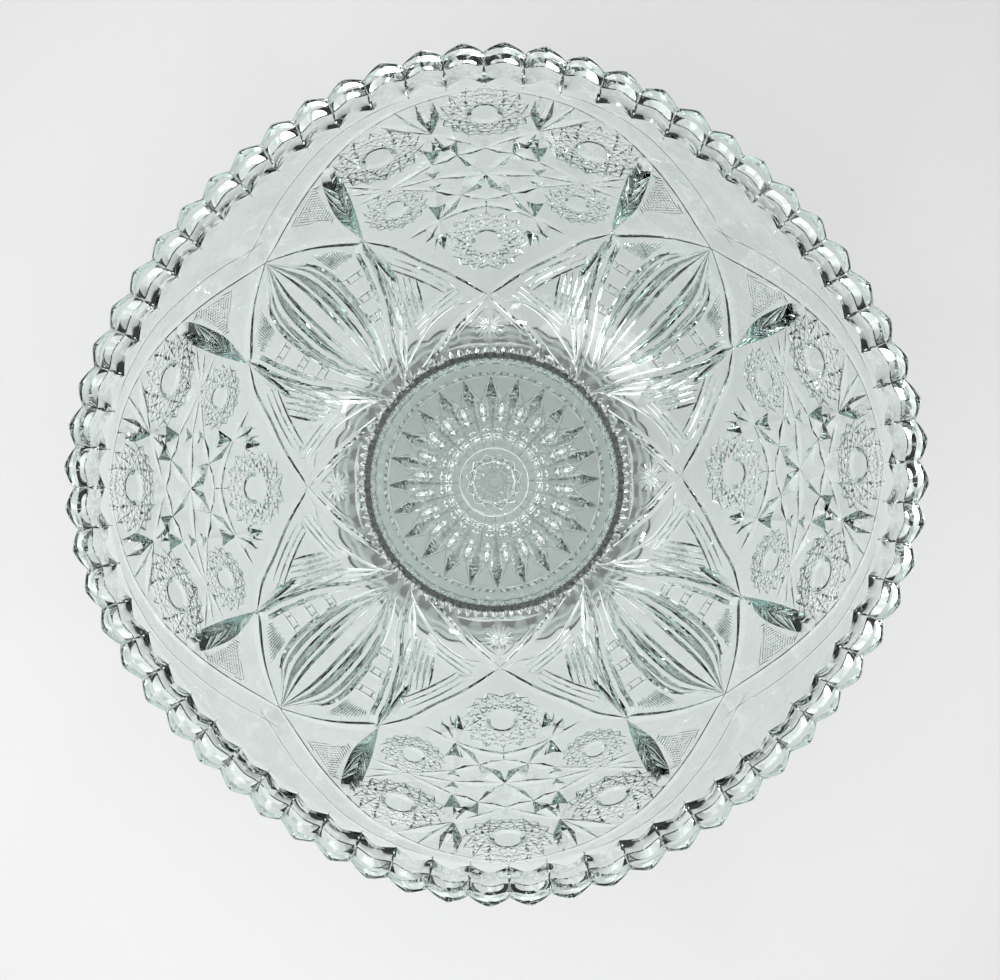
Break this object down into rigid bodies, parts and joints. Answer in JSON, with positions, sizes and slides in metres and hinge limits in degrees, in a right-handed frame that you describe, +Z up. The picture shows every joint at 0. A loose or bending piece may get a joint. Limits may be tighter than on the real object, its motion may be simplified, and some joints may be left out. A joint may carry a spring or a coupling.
{
  "type": "punch bowl",
  "caption": "Clear pressed-glass punch bowl with cut stars and petals, a toothed four-lobed rim, and a separate hollow pedestal stand with a collar.",
  "frame": {"origin": "middle of the stand's foot, on the table", "axes": "+Z up along the bowl's axis; +X and +Y through two of the four high lobes of the rim"},
  "size_m": [0.3394, 0.3394, 0.27],
  "materials": {
    "pressed_glass": "clear, faintly grey-green, polished, with fine cut lines"
  },
  "bodies": {
    "stand": {"stand": "pressed_glass"},
    "bowl": {"bowl": "pressed_glass"}
  },
  "joints": [
    {"name": "bowl_lift", "type": "slide", "parent": "stand", "child": "bowl", "axis": [0, 0, 1], "range_m": [0, 0.15]}
  ]
}
